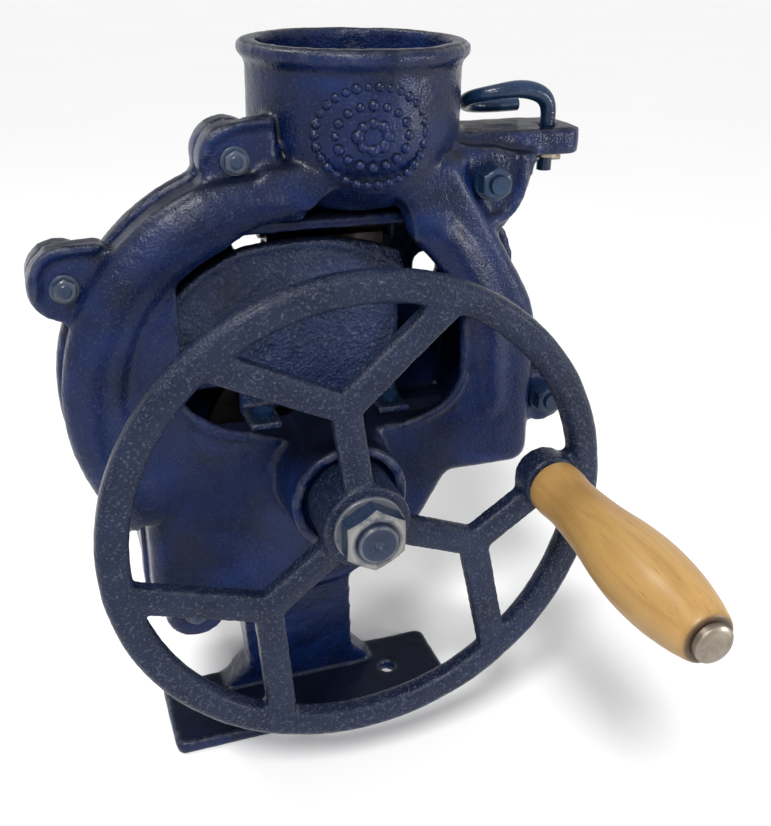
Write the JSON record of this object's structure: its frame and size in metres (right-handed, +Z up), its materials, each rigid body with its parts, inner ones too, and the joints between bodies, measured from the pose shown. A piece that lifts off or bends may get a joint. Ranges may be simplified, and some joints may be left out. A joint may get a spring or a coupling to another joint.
{
  "type": "hand crank corn sheller",
  "caption": "Cast-iron hand-crank sheller with a round hopper, spoked hand wheel with a wooden grip, toothed disc, sprung pressure plate and bolt-down foot.",
  "frame": {"origin": "centre of the foot's underside, midway between its two bolt holes", "axes": "+Z up, -Y to the front where the hand wheel is, +X to the right seen from the front"},
  "size_m": [0.257, 0.3065, 0.342],
  "materials": {
    "casting_enamel": "dark blue enamel on rough cast iron, satin",
    "fastener_enamel": "steel overpainted in dark blue, worn at the edges",
    "bare_steel": "bare steel, slightly dull",
    "bush_bronze": "turned bronze",
    "grip_wood": "varnished honey-coloured wood",
    "spring_steel": "blued spring steel"
  },
  "bodies": {
    "frame": {"front_casting": "casting_enamel", "rear_casting": "casting_enamel", "shield_plate": "casting_enamel", "shield_screws": "bare_steel", "front_bush": "bush_bronze", "rear_bush": "bush_bronze", "casing_screws": "fastener_enamel", "casing_bolts": "fastener_enamel", "casing_nuts": "fastener_enamel", "casing_washers": "fastener_enamel", "hinge_pin": "bare_steel", "pin_collars": "bare_steel", "leaf_spring": "spring_steel", "leaf_screw": "bare_steel"},
    "rotor": {"shaft": "bare_steel", "toothed_disc": "bare_steel", "disc_pin": "bare_steel", "thrust_collar": "bare_steel", "collar_screw": "bare_steel", "hand_wheel": "casting_enamel", "wheel_key": "bare_steel", "wheel_washer": "fastener_enamel", "wheel_nut": "fastener_enamel", "crank_spindle": "bare_steel", "grip_washer": "bare_steel"},
    "grip": {"handle_grip": "grip_wood"},
    "press": {"pressure_plate": "bare_steel"},
    "bail": {"tension_bail": "fastener_enamel", "bail_cotter": "bare_steel", "bail_washer": "bare_steel"}
  },
  "joints": [
    {"name": "crank_turn", "type": "hinge", "parent": "frame", "child": "rotor", "pos_m": [0.008, 0, 0.15], "axis": [0, 1, 0], "continuous": true},
    {"name": "grip_spin", "type": "hinge", "parent": "rotor", "child": "grip", "pos_m": [0.09567, -0.14, 0.15767], "axis": [0, 1, 0], "continuous": true},
    {"name": "plate_swing", "type": "hinge", "parent": "frame", "child": "press", "pos_m": [0.031, 0.056, 0.25], "axis": [1, 0, 0], "range_deg": [0, 10], "stiffness_Nm_per_rad": 6, "springref_deg": -5.73, "deforming": ["leaf_spring"]},
    {"name": "bail_swing", "type": "hinge", "parent": "frame", "child": "bail", "pos_m": [0.122, 0.003, 0.3], "axis": [0, 0, 1], "range_deg": [-60, 75]}
  ]
}
